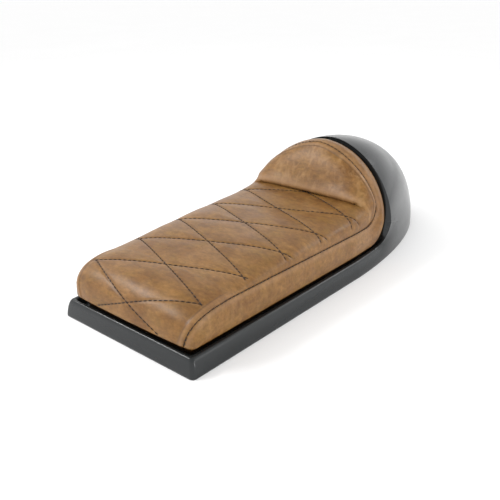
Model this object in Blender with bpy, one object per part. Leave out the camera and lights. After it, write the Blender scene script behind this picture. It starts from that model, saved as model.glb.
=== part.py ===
"""Cafe racer motorcycle seat: a moulded tray and tail cowl with a bolted-in quilted leather pad.

Units are metres and +Z is up. Y runs along the seat, with the front at -Y and the tail at +Y, and
X runs across it. The origin is the middle of the footprint, at the level that the tray stands on.
A distance called "station" is measured from the front edge of the tray towards the tail.
"""
import math
from collections import namedtuple

import bmesh
import bpy
from mathutils import Matrix, Vector

# Overall size
LENGTH = 0.673
FRONT_WIDTH = 0.233
TAIL_START = 0.342          # station where the sides start to curve in to the tail
WIDENING = 0.025            # growth of the half width per metre of station
FRONT_Y = -LENGTH / 2

# Moulded shell
SHELL_WALL = 0.003
CORNER_R = 0.006            # of the front corners, seen from above
BOTTOM_LIP = 0.002          # upright strip at the very bottom of the outer wall
FLOOR_Z = 0.014             # top face of the recess floor
FLOOR_UNDERSIDE = FLOOR_Z - SHELL_WALL
WALL_ROWS = 7
INNER_ROWS = 3
TRAY_ROUNDING = 3.0         # superellipse exponent of the outer wall along the tray
COWL_ROUNDING = 1.85        # and over the cowl
WALL_DRAFT = 0.3            # lean of the tray's outer wall, as a share of its reach out from the crest
COWL_BLEND = 0.45           # share of the rise over which the one changes into the other
SMALLEST_CORNER_R = 0.004   # of the crest and the recess at the front corners
SHELL_RUN = 7               # stations along the straight sides
SHELL_RISE = 19             # stations from the end of the straight sides round to the middle
FILLET_STEPS = 12           # samples of a rim's fillet, before it is divided evenly
CURVE_STEPS = 60            # and of its arch

# Pad
LEATHER = 0.0015
SCRIM = 0.0035              # thin foam sewn behind the quilting
GAP = 0.0003                # between neighbouring pieces
PAD_FRONT = 0.009           # station of the seam's foot on the front face
SEAM_FOOT_X = 0.0945
SEAM_FOOT_Z = 0.032
NOSE_LENGTH = 0.070
NOSE_ROUNDING = 2.8
NOSE_BULGE = 0.0025         # how far the middle of the front face stands ahead of the seam
NOSE_BOTTOM = 0.032
NOSE_TOP = 0.0812
PAD_CORNER_R = 0.0085
SADDLE_RISE = 0.010         # further rise of the top from the nose to its highest point
SADDLE_PEAK = 0.245
CREASE = 0.380              # station of the crease at the foot of the bum stop
CREASE_RISE = 0.0058        # how far the top climbs again just ahead of the crease
CREASE_RUN = 0.070
STOP_BULGE = 0.006          # forward swell of the bum stop's face
FRONT_CROWN = 2.2           # superellipse exponent of the top's section at the nose
REAR_CROWN = 4.5            # and by the crease
STOP_CROWN = 3.0            # and on the bum stop
PAD_COLUMNS = 12
BAND_ROWS = 2
BAND_START_LIMIT = 0.8
NOSE_ROWS = 5
PAD_RUN_END = 0.350
PAD_RUN_ROWS = 7
PAD_RISE_ROWS = 12
CREASE_ROW = NOSE_ROWS + PAD_RUN_ROWS + 2
CREASE_GAP = 0.1            # share of the first row above the crease that the bum stop leaves open

SEAT_FOAM_END = 0.3735      # station where the seat foam stops, short of the crease
SCRIM_TRIM = 2              # columns at each side that the quilting foam stops short of
CURL_ROWS = 3
ROLL_DOWN = 0.42            # share of the way down to the hem taken by the rolled lower edge
ROLL_IN = 0.45              # and share of the way in
HEM_TURN = 0.006            # width of the leather turned in under the pan
HEM_CORNER_R = 0.004
FRONT_HEM_SCALE = 0.90      # the front leather narrows to this where it turns under

# Pan under the pad
PAN_WALL = 0.003
HEM_Z = FLOOR_Z + GAP
PAN_Z = HEM_Z + LEATHER + GAP + PAN_WALL

# Fixings
BOLT_R = 0.003
BOLT_PLAY = 0.0004
BOLT_STATIONS = (0.075, 0.335)
BOLT_X = 0.070
HEAD_ACROSS = 0.0058        # radius of the hexagon's corners
HEAD_HEIGHT = 0.0040
HEAD_CHAMFER = 0.0005
WASHER_R = 0.009
WASHER_THICKNESS = 0.0015
NUT_BARREL_R = 0.0046
NUT_FLANGE_R = 0.0095
NUT_FLANGE = 0.0015
POCKET_R = 0.012
POCKET_HEIGHT = 0.009
BUMPER_STATIONS = (0.040, 0.290)
BUMPER_X = 0.078
BUMPER_R = 0.010
BUMPER_STEM_R = 0.0028
BUMPER_HOLE_R = 0.0032
BUMPER_BARB_R = 0.0042
BUMPER_BARB = 0.0012
BUMPER_HEIGHT = 0.0085
BUMPER_CHAMFER = 0.001
ROD_R = 0.00125
ROD_HALF = 0.092
ROD_STATION = 0.3770
ROD_Z = 0.0865
RING_XS = (-0.080, -0.040, 0.0, 0.040, 0.080)
RING_WIRE_R = 0.0007
RING_SIDES = 14
RING_WIRE_SIDES = 6
RING_EASE = 1.1             # how much wider a ring is than the rods it holds
ROD_SIDES = 10
ROUND = 20                  # sides of a turned piece
SHANK_STEPS = 3             # sides of a bolt's shank for each side of its head

# Points behind the sheets, to tell which way they face
UNDER_COWL = Vector((0, 0.15, 0))
INSIDE_PAD = Vector((0, 0.06, 0.05))

# A rim runs level along the tray, then turns up through a fillet into a leaning arch.
Rim = namedtuple("Rim", "front inset level slope half_width rounding foot_z top_z station lean fillet")
CREST = Rim(0.0045, 0.0060, 0.0234, 0.0, 0.1225, 1.85, 0.049, 0.1714, 0.4360, 0.086, 0.034)
BOWL = Rim(0.0105, 0.0145, FLOOR_Z, 0.0, 0.1120, 1.83, 0.056, 0.1620, 0.4310, 0.154, 0.012)
SEAM = Rim(PAD_FRONT, 0.0121, 0.0700, -0.0137, 0.1130, 1.68, 0.0764, 0.1713, 0.4035, 0.060, 0.028)
PAD_EDGE = Rim(0.0105, 0.0108, 0.0285, 0.0, 0.1168, 1.83, 0.0612, 0.1689, 0.4200, 0.154, 0.030)
HEM = Rim(0.0205, 0.0235, HEM_Z, 0.0, 0.1060, 1.83, 0.0560, 0.1560, 0.4305, 0.154, 0.030)
PAN = Rim(0.0225, 0.0255, PAN_Z, 0.0, 0.1035, 1.83, 0.0560, 0.1535, 0.4250, 0.154, 0.034)
FOAM_FOOT = Rim(0.0225, 0.0265, PAN_Z + GAP, 0.0, 0.1025, 1.83, 0.0560, 0.1525, 0.4238, 0.154, 0.038)

# name: (colour, roughness, metallic)
FINISHES = {
    "black_plastic": ((0.045, 0.047, 0.050), 0.35, 0.0),
    "tan_leather": ((0.330, 0.185, 0.090), 0.50, 0.0),
    "grey_foam": ((0.230, 0.230, 0.220), 0.95, 0.0),
    "scrim_foam": ((0.600, 0.560, 0.420), 0.95, 0.0),
    "pan_plastic": ((0.030, 0.030, 0.030), 0.60, 0.0),
    "zinc_steel": ((0.560, 0.570, 0.580), 0.30, 1.0),
    "black_rubber": ((0.020, 0.020, 0.020), 0.85, 0.0),
}


def clear_scene():
    for item in list(bpy.data.objects):
        bpy.data.objects.remove(item, do_unlink=True)


def finish(item, name):
    """Give an object a Principled material of its own in one of the finishes."""
    colour, roughness, metallic = FINISHES[name]
    material = bpy.data.materials.new(item.name + "_" + name)
    material.use_nodes = True
    shader = material.node_tree.nodes["Principled BSDF"]
    shader.inputs["Base Color"].default_value = (*colour, 1.0)
    shader.inputs["Roughness"].default_value = roughness
    shader.inputs["Metallic"].default_value = metallic
    item.data.materials.append(material)


def place(name, bm, finish_name=None, smooth=True):
    """Turn a bmesh into an object with its normals facing out."""
    mesh = bpy.data.meshes.new(name)
    bm.to_mesh(mesh)
    bm.free()
    if smooth:
        mesh.shade_smooth()
        mesh.set_sharp_from_angle(angle=math.radians(40))
    item = bpy.data.objects.new(name, mesh)
    bpy.context.collection.objects.link(item)
    if finish_name:
        finish(item, finish_name)
    return item


def add_solidify(item, thickness):
    """Thicken an open sheet inwards, away from the side that its normals face."""
    solidify = item.modifiers.new("thickness", "SOLIDIFY")
    solidify.thickness = thickness
    solidify.offset = -1.0
    solidify.use_even_offset = True
    solidify.thickness_clamp = 1.0


def add_cut(item, cutter):
    cut = item.modifiers.new("cut", "BOOLEAN")
    cut.operation = "DIFFERENCE"
    cut.object = cutter


def quarter(angle, exponent):
    """Cosine and sine of an angle, reshaped so that a quarter circle becomes a superellipse."""
    power = 2 / exponent
    return max(math.cos(angle), 0.0) ** power, max(math.sin(angle), 0.0) ** power


def fraction_angles(count):
    return [math.pi / 2 * i / count for i in range(count + 1)]


def resample(points, count):
    """Points at equal steps of length along a polyline, its ends included."""
    lengths = [0.0]
    for here, there in zip(points, points[1:]):
        lengths.append(lengths[-1] + (there - here).length)
    spaced = []
    k = 0
    for i in range(count):
        goal = lengths[-1] * i / (count - 1)
        while k < len(points) - 2 and lengths[k + 1] < goal:
            k += 1
        step = (goal - lengths[k]) / (lengths[k + 1] - lengths[k])
        spaced.append(points[k].lerp(points[k + 1], step))
    return spaced


def smoothstep(value):
    value = min(max(value, 0.0), 1.0)
    return value * value * (3 - 2 * value)


def half_width(station):
    """Half the width of the tray's bottom edge: straight sides, then half an ellipse."""
    straight = FRONT_WIDTH / 2 + WIDENING * min(station, TAIL_START)
    if station <= TAIL_START:
        return straight
    along = (station - TAIL_START) / (LENGTH - TAIL_START)
    return straight * math.sqrt(max(1 - along * along, 0.0))


def rim_point(rim, station):
    """A point on the level run of a rim, on the right side."""
    x = half_width(station) - rim.inset
    return Vector((x, FRONT_Y + station, rim.level + rim.slope * station))


def riser_point(rim, z):
    """A point on the arch of a rim, on the right side, at a height."""
    rise = max((z - rim.foot_z) / (rim.top_z - rim.foot_z), 0.0)
    x = rim.half_width * max(1 - rise ** rim.rounding, 0.0) ** (1 / rim.rounding)
    return Vector((x, FRONT_Y + rim.station + rim.lean * (z - rim.foot_z), z))


def rim_rise(rim, start, count):
    """Right side of a rim, from a station on its level run over the fillet to its top middle."""
    foot = riser_point(rim, rim.level)
    fillet_start = foot.y - FRONT_Y - rim.fillet
    here = rim_point(rim, fillet_start)
    there = riser_point(rim, here.z + rim.fillet)
    corner = Vector(((here.x + there.x) / 2, foot.y, here.z))
    points = [rim_point(rim, start)]
    for i in range(FILLET_STEPS + 1):
        t = i / FILLET_STEPS
        points.append(here.lerp(corner, t).lerp(corner.lerp(there, t), t))
    if there.z < rim.foot_z:
        points.append(riser_point(rim, rim.foot_z))
    for angle in fraction_angles(CURVE_STEPS):
        up = quarter(angle, rim.rounding)[1]
        z = rim.foot_z + (rim.top_z - rim.foot_z) * up
        if z > points[-1].z:
            points.append(riser_point(rim, z))
    return resample(points, count)


def front_corner(front, inset, radius, z, straight_rows=3, corner_rows=4):
    """Right half of a front edge, from the middle round a corner to the start of the side."""
    side = half_width(front + radius) - inset
    centre = Vector((side - radius, FRONT_Y + front + radius, z))
    points = [Vector((centre.x * i / straight_rows, centre.y - radius, z)) for i in range(straight_rows)]
    for angle in fraction_angles(corner_rows):
        points.append(centre + radius * Vector((math.sin(angle), -math.cos(angle), 0)))
    return points


def run_stations(first, last, count):
    return [first + (last - first) * i / count for i in range(1, count)]


def rim_outline(rim):
    """Right half of a shell rim, from the front middle to the top middle."""
    radius = max(CORNER_R - rim.front, SMALLEST_CORNER_R)
    points = front_corner(rim.front, rim.inset, radius, rim.level)
    points += [rim_point(rim, s) for s in run_stations(rim.front + radius, TAIL_START, SHELL_RUN)]
    return points + rim_rise(rim, TAIL_START, SHELL_RISE)


def bottom_outline():
    """Right half of the shell's bottom edge, from the front middle to the tail middle."""
    points = front_corner(0.0, 0.0, CORNER_R, 0.0)
    for station in run_stations(CORNER_R, TAIL_START, SHELL_RUN):
        points.append(Vector((half_width(station), FRONT_Y + station, 0.0)))
    tail = []
    for angle in fraction_angles(CURVE_STEPS):
        station = TAIL_START + (LENGTH - TAIL_START) * math.sin(angle)
        tail.append(Vector((half_width(station), FRONT_Y + station, 0.0)))
    return points + resample(tail, SHELL_RISE)


def mirrored(points):
    """The left half of a right half outline, walked back towards the front."""
    return [Vector((-p.x, p.y, p.z)) for p in reversed(points[1:-1])]


def add_face(bm, corners):
    """Add a face, leaving out corners that are named twice."""
    corners = list(dict.fromkeys(corners))
    if len(corners) > 2:
        bm.faces.new(corners)


def shared_vertex(bm, known, point):
    """The vertex already made at a point, or a new one."""
    key = point.to_tuple(5)
    if key not in known:
        known[key] = bm.verts.new(point)
    return known[key]


def grid_faces(bm, columns, closed=False):
    """Join neighbouring columns of vertices with quads."""
    pairs = list(zip(columns, columns[1:]))
    if closed:
        pairs.append((columns[-1], columns[0]))
    for left, right in pairs:
        for corners in zip(left, left[1:], right[1:], right):
            add_face(bm, corners)


def shell_column(bottom, crest, bowl, cowl):
    """Points up the outer wall, over the crest and down to the recess."""
    rounding = TRAY_ROUNDING + (COWL_ROUNDING - TRAY_ROUNDING) * cowl
    draft = WALL_DRAFT * (1 - cowl)
    column = [bottom]
    for angle in fraction_angles(WALL_ROWS):
        across, up = quarter(angle, rounding)
        point = crest.lerp(bottom, across * (1 - draft * up))
        point.z = BOTTOM_LIP + (crest.z - BOTTOM_LIP) * up
        column.append(point)
    for angle in fraction_angles(INNER_ROWS)[1:]:
        point = crest.lerp(bowl, math.sin(angle))
        point.z = bowl.z + (crest.z - bowl.z) * math.cos(angle)
        column.append(point)
    return column


def build_shell():
    """The tray and the tail cowl, moulded as one sheet that is open underneath."""
    bottom = bottom_outline()
    crest = rim_outline(CREST)
    bowl = rim_outline(BOWL)
    last_run = len(bottom) - SHELL_RISE
    columns = []
    for i, points in enumerate(zip(bottom, crest, bowl)):
        cowl = smoothstep((i - last_run) / (SHELL_RISE * COWL_BLEND))
        columns.append(shell_column(*points, cowl))
    left = [[Vector((-p.x, p.y, p.z)) for p in column] for column in reversed(columns[1:-1])]
    bm = bmesh.new()
    loops = [[bm.verts.new(p) for p in column] for column in columns + left]
    grid_faces(bm, loops, closed=True)
    fill_recess(bm, [loop[-1] for loop in loops], bowl)
    face_away(bm, UNDER_COWL)
    shell = place("base_shell", bm, "black_plastic")
    add_solidify(shell, SHELL_WALL)
    add_cut(shell, drill("shell_drill", floor_holes(), FLOOR_Z - 2 * SHELL_WALL, FLOOR_Z + SHELL_WALL))


def face_away(bm, inside):
    """Turn a sheet's faces to look away from a point behind it."""
    bmesh.ops.recalc_face_normals(bm, faces=bm.faces)
    outward = sum(f.calc_area() * f.normal.dot(f.calc_center_median() - inside) for f in bm.faces)
    if outward < 0:
        bmesh.ops.reverse_faces(bm, faces=bm.faces)
    bm.normal_update()


def bolt_places():
    return [(side * BOLT_X, FRONT_Y + station) for station in BOLT_STATIONS for side in (-1, 1)]


def bumper_places():
    return [(side * BUMPER_X, FRONT_Y + station) for station in BUMPER_STATIONS for side in (-1, 1)]


def floor_holes():
    """Centre and radius of each hole through the recess floor."""
    bolts = [(x, y, BOLT_R + BOLT_PLAY) for x, y in bolt_places()]
    return bolts + [(x, y, BUMPER_HOLE_R) for x, y in bumper_places()]


def drill(name, holes, low, high):
    """A hidden cutter: one upright cylinder for each hole."""
    bm = bmesh.new()
    for x, y, radius in holes:
        middle = Matrix.Translation((x, y, (low + high) / 2))
        bmesh.ops.create_cone(bm, cap_ends=True, segments=ROUND, radius1=radius, radius2=radius,
                              depth=high - low, matrix=middle)
    cutter = place(name, bm, smooth=False)
    cutter.hide_render = True
    cutter.display_type = "WIRE"
    return cutter


def top_height(station):
    """Height of the pad's top along its middle line, from the nose to the crease."""
    nose_end = PAD_FRONT + NOSE_LENGTH
    rise = math.sin(math.pi / 2 * min((station - nose_end) / (SADDLE_PEAK - nose_end), 1.0))
    climb = smoothstep((station - CREASE + CREASE_RUN) / CREASE_RUN)
    return NOSE_TOP + SADDLE_RISE * rise + CREASE_RISE * climb


def nose_outline(rim, radius):
    """A lower line of the pad round its front corner, on the right side."""
    corner = front_corner(rim.front, rim.inset, radius, rim.level)[3:]
    return resample(corner + [rim_point(rim, PAD_FRONT + NOSE_LENGTH)], NOSE_ROWS + 1)


def lower_line(rim, radius):
    """A lower line of the whole pad on the right side, with one point for each row."""
    line = nose_outline(rim, radius)
    line += [rim_point(rim, s) for s in run_stations(PAD_FRONT + NOSE_LENGTH, PAD_RUN_END, PAD_RUN_ROWS)]
    return line + rim_rise(rim, PAD_RUN_END, PAD_RISE_ROWS + 1)


def nose_lines():
    """Seam and middle points of the rounded nose, bottom to top."""
    seam_end = rim_point(SEAM, PAD_FRONT + NOSE_LENGTH)
    seam = []
    middle = []
    for angle in fraction_angles(NOSE_ROWS):
        back, up = quarter(angle, NOSE_ROUNDING)
        x = SEAM_FOOT_X + (seam_end.x - SEAM_FOOT_X) * up
        z = SEAM_FOOT_Z + (seam_end.z - SEAM_FOOT_Z) * up
        seam.append(Vector((x, seam_end.y - NOSE_LENGTH * back, z)))
        y = seam_end.y - (NOSE_LENGTH + NOSE_BULGE) * back
        middle.append(Vector((0, y, NOSE_BOTTOM + (NOSE_TOP - NOSE_BOTTOM) * up)))
    return seam, middle


def pad_lines():
    """Seam and middle points of the whole pad, and its section's exponent, for each row."""
    seam, middle = nose_lines()
    for station in run_stations(PAD_FRONT + NOSE_LENGTH, PAD_RUN_END, PAD_RUN_ROWS):
        seam.append(rim_point(SEAM, station))
        middle.append(Vector((0, FRONT_Y + station, top_height(station))))
    seam += rim_rise(SEAM, PAD_RUN_END, PAD_RISE_ROWS + 1)
    approach = CREASE_ROW - len(middle)
    for i in range(approach + 1):
        station = PAD_RUN_END + (CREASE - PAD_RUN_END) * i / approach
        middle.append(Vector((0, FRONT_Y + station, top_height(station))))
    foot = middle[-1]
    steps = len(seam) - len(middle)
    for i in range(1, steps + 1):
        point = foot.lerp(seam[-1], i / steps)
        point.y -= STOP_BULGE * math.sin(math.pi * i / steps)
        middle.append(point)
    crowns = [FRONT_CROWN] * (NOSE_ROWS + 1)
    crowns += [FRONT_CROWN + (REAR_CROWN - FRONT_CROWN) * i / PAD_RUN_ROWS for i in range(1, PAD_RUN_ROWS)]
    crowns += [REAR_CROWN] * (CREASE_ROW + 1 - len(crowns))
    crowns += [STOP_CROWN] * (len(seam) - len(crowns))
    return seam, middle, crowns


def across(seam, middle, crown):
    """One row of the leather from the left seam over the middle to the right seam."""
    row = []
    for i in range(PAD_COLUMNS + 1):
        angle = math.pi * (i / PAD_COLUMNS - 0.5)
        height, reach = quarter(abs(angle), crown)
        point = Vector((0, seam.y, seam.z)).lerp(middle, height)
        point.x = math.copysign(reach, angle) * seam.x
        row.append(point)
    return row


def pad_rows():
    """Rows over the pad's leather, and the right side's column down the band from each row."""
    seam, middle, crowns = pad_lines()
    edge = lower_line(PAD_EDGE, PAD_CORNER_R)
    rows = [across(s, m, crown) for s, m, crown in zip(seam, middle, crowns)]
    bands = [[s.lerp(e, i / BAND_ROWS) for i in range(BAND_ROWS + 1)] for s, e in zip(seam, edge)]
    return rows, bands


def curl(edge, hem):
    """Points from a lower edge of the leather, rolling under the foam to the hem and in along it."""
    rise = min(max((hem.z - HEM.level) / HEM.fillet, 0.0), 1.0)
    tilt = rise * (math.pi / 2 - math.atan(HEM.lean))
    inward_of_pad = Vector((0, math.sin(tilt), -math.cos(tilt)))
    depth = inward_of_pad * (hem - edge).dot(inward_of_pad)
    rest = hem - edge - depth
    points = []
    for angle in fraction_angles(CURL_ROWS)[1:]:
        down = ROLL_DOWN * math.sin(angle)
        inward = ROLL_IN * (1 - math.cos(angle))
        points.append(edge + depth * down + rest * inward)
    return points + [hem, hem + rest.normalized() * HEM_TURN]


def sunk(rows, depth):
    """Rows of points moved square to their surface, to a depth below it."""
    bm = bmesh.new()
    grid = [[bm.verts.new(p) for p in row] for row in rows]
    grid_faces(bm, grid)
    face_away(bm, INSIDE_PAD)
    lowered = [[v.co - v.normal * depth * v.calc_shell_factor() for v in row] for row in grid]
    bm.free()
    return lowered


def sheet(name, rows, thickness, finish_name):
    """A leather or foam sheet through rows of points, thickened inwards."""
    bm = bmesh.new()
    grid_faces(bm, [[bm.verts.new(p) for p in row] for row in rows])
    bmesh.ops.remove_doubles(bm, verts=bm.verts, dist=GAP / 10)
    face_away(bm, INSIDE_PAD)
    add_solidify(place(name, bm, finish_name), thickness)


def band_start(seam, column, k):
    """A point down the band's column that is clear of the leather on the seam's other side."""
    along = (seam[min(k + 1, len(seam) - 1)] - seam[max(k - 1, 0)]).normalized()
    down = column[-1] - column[0]
    reach = (LEATHER + GAP) / down.cross(along).length
    return column[0].lerp(column[-1], min(reach, BAND_START_LIMIT))


def band_columns(bands):
    """Columns of the side band round the whole pad, from just below the seam to the hem's end."""
    seam = [column[0] for column in bands]
    right = []
    for k, (column, hem) in enumerate(zip(bands, lower_line(HEM, HEM_CORNER_R))):
        right.append([band_start(seam, column, k)] + column[1:] + curl(column[-1], hem))
    return right + [[Vector((-p.x, p.y, p.z)) for p in column] for column in reversed(right[:-1])]


def front_hem(row):
    """Rows that turn the lower edge of the front leather under the foam, innermost first."""
    columns = []
    for point in row:
        hem = Vector((point.x * FRONT_HEM_SCALE, FRONT_Y + HEM.front, HEM.level))
        columns.append(curl(point, hem))
    return [list(line) for line in reversed(list(zip(*columns)))]


def build_leather(rows, bands):
    """The three leather panels of the cover and the thin foam behind the quilting."""
    top = front_hem(rows[0]) + rows[:CREASE_ROW + 1]
    sheet("top_panel", top, LEATHER, "tan_leather")
    lifted = [p.lerp(q, CREASE_GAP) for p, q in zip(rows[CREASE_ROW], rows[CREASE_ROW + 1])]
    sheet("bum_stop_panel", [lifted] + rows[CREASE_ROW + 1:], LEATHER, "tan_leather")
    sheet("side_band", band_columns(bands), LEATHER, "tan_leather")
    lining = sunk(rows[:CREASE_ROW + 1], LEATHER + GAP)[1:-1]
    sheet("scrim_foam", [row[SCRIM_TRIM:-SCRIM_TRIM] for row in lining], SCRIM, "scrim_foam")


def foam_block(name, rows, bands, feet, depths):
    """A closed foam body under rows of leather; depths are how far it lies below them."""
    skin, top = depths
    bm = bmesh.new()
    loops = []
    known = {}
    sunk = {}
    for row, band, foot in zip(rows, bands, feet):
        right = band[1:] + [foot]
        left = [Vector((-p.x, p.y, p.z)) for p in reversed(right)]
        loop = [shared_vertex(bm, known, p) for p in left + row + right]
        for i, vertex in enumerate(loop):
            edge = len(right) + SCRIM_TRIM
            inside = edge <= i < len(loop) - edge
            sunk[vertex] = 0.0 if i in (0, len(loop) - 1) else top if inside else skin
        loops.append(loop)
    grid_faces(bm, loops)
    for here, there in zip(loops, loops[1:]):
        add_face(bm, (here[0], here[-1], there[-1], there[0]))
    bm.faces.new(loops[0])
    if rows[-1][-1].x > GAP:
        bm.faces.new(loops[-1])
    bmesh.ops.recalc_face_normals(bm, faces=bm.faces)
    bm.normal_update()
    moves = [(v, v.normal * depth * v.calc_shell_factor()) for v, depth in sunk.items()]
    for vertex, move in moves:
        vertex.co -= move
    bmesh.ops.remove_doubles(bm, verts=bm.verts, dist=GAP)
    bmesh.ops.recalc_face_normals(bm, faces=bm.faces)
    return place(name, bm, "grey_foam")


def cut_off(before, after, station):
    """Points where the lines between two rows reach a station."""
    return [p.lerp(q, (FRONT_Y + station - p.y) / (q.y - p.y)) for p, q in zip(before, after)]


def build_foams(rows, bands):
    """The seat foam, ending short of the crease, and the bum stop foam behind it."""
    feet = lower_line(FOAM_FOOT, HEM_CORNER_R)
    skin = LEATHER + 2 * GAP
    under_scrim = skin + SCRIM + GAP
    last = CREASE_ROW
    while rows[last][PAD_COLUMNS // 2].y > FRONT_Y + SEAT_FOAM_END:
        last -= 1
    row, band, foot = (cut_off(line[last], line[last + 1], SEAT_FOAM_END)
                       for line in (rows, bands, [[foot] for foot in feet]))
    foam = foam_block("seat_foam", rows[:last + 1] + [row], bands[:last + 1] + [band],
                      feet[:last + 1] + foot, (skin, under_scrim))
    pockets = [(x, y, POCKET_R) for x, y in bolt_places()]
    add_cut(foam, drill("foam_pocket_drill", pockets, FLOOR_Z, PAN_Z + POCKET_HEIGHT))
    foam_block("bum_stop_foam", rows[CREASE_ROW:], bands[CREASE_ROW:], feet[CREASE_ROW:], (skin, skin))


def fill_recess(bm, ring, line):
    """Close a recess ring: one face for its level floor, then strips up its leaning back."""
    level = [i for i in range(len(line)) if line[i].z < line[0].z + GAP]
    floor = [ring[i] for i in level] + [ring[-i] for i in reversed(level) if i > 0]
    bm.faces.new(floor)
    for i in range(level[-1], len(line) - 1):
        add_face(bm, (ring[i], ring[i + 1], ring[-i - 1], ring[-i]))


def build_pan():
    """The stiff pan: a floor plate that turns up into a back plate."""
    line = rim_outline(PAN)
    bm = bmesh.new()
    ring = [bm.verts.new(p) for p in line + mirrored(line)]
    fill_recess(bm, ring, line)
    face_away(bm, UNDER_COWL)
    pan = place("pad_pan", bm, "pan_plastic")
    add_solidify(pan, PAN_WALL)
    holes = [(x, y, NUT_BARREL_R + GAP) for x, y in bolt_places()]
    add_cut(pan, drill("pan_drill", holes, FLOOR_Z, PAN_Z + PAN_WALL))


def turned(name, profile, location, finish_name, closed=False, segments=ROUND):
    """A turned piece from (radius, height) points; a closed profile makes a ring."""
    bm = bmesh.new()
    columns = []
    for i in range(segments):
        angle = 2 * math.pi * i / segments
        points = [(r * math.cos(angle), r * math.sin(angle), z) for r, z in profile]
        columns.append([bm.verts.new(p) for p in points])
    if closed:
        columns = [column + column[:1] for column in columns]
    grid_faces(bm, columns, closed=True)
    bmesh.ops.remove_doubles(bm, verts=bm.verts, dist=GAP / 10)
    bmesh.ops.recalc_face_normals(bm, faces=bm.faces)
    item = place(name, bm, finish_name)
    item.location = location
    return item


def build_fixings():
    """Bolts with washers up through the floor into tee nuts in the pan."""
    washer_top = FLOOR_UNDERSIDE - GAP
    washer_low = washer_top - WASHER_THICKNESS
    head_top = washer_low - GAP
    flange_low = PAN_Z + GAP
    barrel_low = FLOOR_Z + GAP
    bore = BOLT_R + BOLT_PLAY
    tip = flange_low + NUT_FLANGE + GAP
    chamfered = HEAD_ACROSS - HEAD_CHAMFER
    head_low = head_top - HEAD_HEIGHT
    for i, (x, y) in enumerate(bolt_places(), start=1):
        middle = (x, y, 0)
        bolt = [(chamfered, head_low), (HEAD_ACROSS, head_low + HEAD_CHAMFER), (HEAD_ACROSS, head_top)]
        washer = [(bore, washer_low), (WASHER_R, washer_low), (WASHER_R, washer_top), (bore, washer_top)]
        nut = [(bore, barrel_low), (NUT_BARREL_R, barrel_low), (NUT_BARREL_R, flange_low),
               (NUT_FLANGE_R, flange_low), (NUT_FLANGE_R, flange_low + NUT_FLANGE),
               (bore, flange_low + NUT_FLANGE)]
        hex_bolt(f"bolt_{i}", bolt, tip, middle)
        turned(f"washer_{i}", washer, middle, "zinc_steel", closed=True)
        turned(f"tee_nut_{i}", nut, middle, "zinc_steel", closed=True)


def circle(bm, radius, z, sides):
    """A ring of new vertices round the Z axis."""
    angles = (2 * math.pi * i / sides for i in range(sides))
    return [bm.verts.new((radius * math.cos(a), radius * math.sin(a), z)) for a in angles]


def hex_bolt(name, head, tip, location):
    """A hexagonal head and a round shank in one piece, from (radius, height) points of the head."""
    bm = bmesh.new()
    rings = [circle(bm, radius, z, 6) for radius, z in head]
    shank = [circle(bm, BOLT_R, z, 6 * SHANK_STEPS) for z in (head[-1][1], tip)]
    for low, high in list(zip(rings, rings[1:])) + [shank]:
        grid_faces(bm, [list(pair) for pair in zip(low, high)], closed=True)
    bm.faces.new(rings[0])
    bm.faces.new(shank[1])
    for i in range(6):
        inner = [shank[0][(SHANK_STEPS * i + k) % len(shank[0])] for k in range(SHANK_STEPS + 1)]
        bm.faces.new([rings[-1][i], rings[-1][(i + 1) % 6]] + inner[::-1])
    bmesh.ops.recalc_face_normals(bm, faces=bm.faces)
    bolt = place(name, bm, "zinc_steel")
    bolt.location = location


def build_bumpers():
    """Rubber buffers pushed through the floor, standing just clear of what the tray rests on."""
    top = FLOOR_UNDERSIDE - GAP
    foot = top - BUMPER_HEIGHT
    barb = FLOOR_Z + GAP
    tip = barb + BUMPER_BARB
    profile = [(0, foot), (BUMPER_R - BUMPER_CHAMFER, foot), (BUMPER_R, foot + BUMPER_CHAMFER),
               (BUMPER_R, top), (BUMPER_STEM_R, top), (BUMPER_STEM_R, barb), (BUMPER_BARB_R, barb),
               (BUMPER_STEM_R, tip), (0, tip)]
    for i, (x, y) in enumerate(bumper_places(), start=1):
        turned(f"bumper_{i}", profile, (x, y, 0), "black_rubber")


def wire_section(bm, centre, out):
    """A ring of new vertices round a ring's wire."""
    section = []
    for i in range(RING_WIRE_SIDES):
        angle = 2 * math.pi * i / RING_WIRE_SIDES
        offset = math.cos(angle) * out + math.sin(angle) * Vector((1, 0, 0))
        section.append(bm.verts.new(centre + RING_WIRE_R * offset))
    return section


def build_tie_down():
    """The listing rod in the cover's crease, clipped with oval rings to a rod in the foam."""
    y = FRONT_Y + ROD_STATION
    drop = 2 * ROD_R + 2 * GAP
    rod = [(0, -ROD_HALF), (ROD_R, -ROD_HALF), (ROD_R, ROD_HALF), (0, ROD_HALF)]
    for name, z in (("listing_rod", ROD_Z), ("anchor_rod", ROD_Z - drop)):
        item = turned(name, rod, (0, y, z), "zinc_steel", segments=ROD_SIDES)
        item.rotation_euler = (0, math.pi / 2, 0)
    reach = (ROD_R + GAP + RING_WIRE_R) * RING_EASE
    for i, x in enumerate(RING_XS, start=1):
        bm = bmesh.new()
        rings = []
        for k in range(RING_SIDES):
            angle = 2 * math.pi * k / RING_SIDES
            out = Vector((0, math.cos(angle), math.sin(angle)))
            centre = out * reach
            centre.z += math.copysign(drop / 2, out.z)
            rings.append(wire_section(bm, centre, out))
        grid_faces(bm, [ring + ring[:1] for ring in rings], closed=True)
        bmesh.ops.recalc_face_normals(bm, faces=bm.faces)
        ring = place(f"hog_ring_{i}", bm, "zinc_steel")
        ring.location = (x, y, ROD_Z - drop / 2)


def main():
    clear_scene()
    build_shell()
    rows, bands = pad_rows()
    build_pan()
    build_foams(rows, bands)
    build_leather(rows, bands)
    build_fixings()
    build_bumpers()
    build_tie_down()


if __name__ == "__main__":
    main()
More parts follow.
